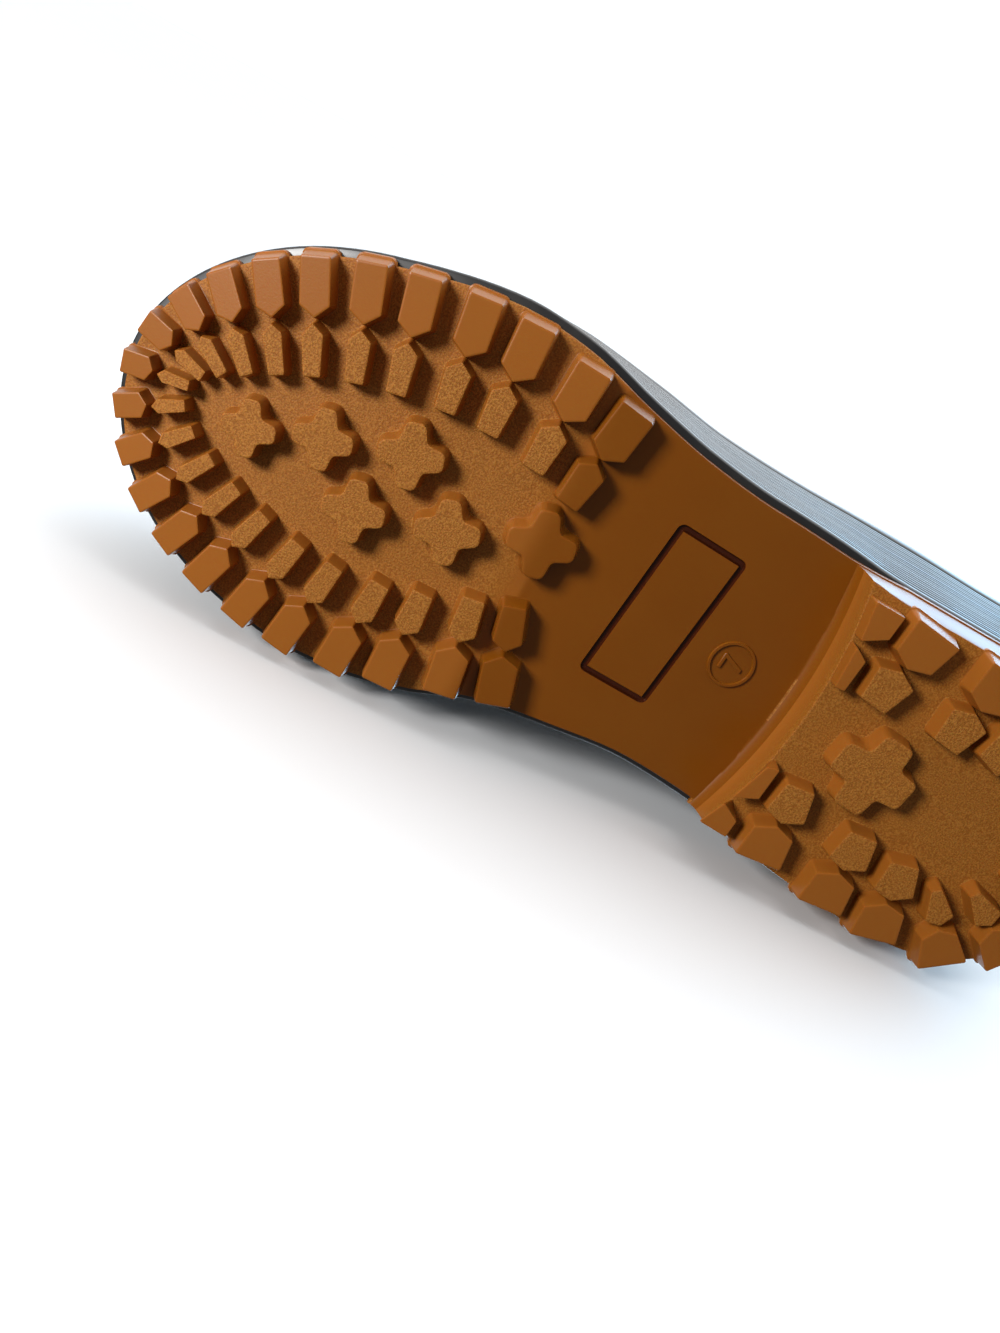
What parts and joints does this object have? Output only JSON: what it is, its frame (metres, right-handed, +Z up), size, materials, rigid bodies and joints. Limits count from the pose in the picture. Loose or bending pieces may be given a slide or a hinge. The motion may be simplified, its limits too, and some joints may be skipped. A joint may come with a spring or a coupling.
{
  "type": "rain boot",
  "caption": "Ankle-height rubber rain boot for the left foot with a ribbed platform sidewall and a lugged gum outsole, lying on its inner side.",
  "frame": {"origin": "middle of the underside of the boot's box, on the floor that it lies on", "axes": "+X from toe to heel, +Y from the tread to the collar, +Z up, towards the outer side of the foot"},
  "size_m": [0.2754, 0.1756, 0.1009],
  "materials": {
    "gum_rubber": "translucent caramel gum rubber, satin, with a fine grain on the tread's floor and inner lugs",
    "sidewall_rubber": "black rubber, satin, ribbed",
    "upper_rubber": "smooth black rubber, satin",
    "insole_cloth": "dark grey knitted lining"
  },
  "bodies": {
    "root": {"outsole": "gum_rubber", "sidewall": "sidewall_rubber", "upper": "upper_rubber", "insole": "insole_cloth"}
  },
  "joints": []
}
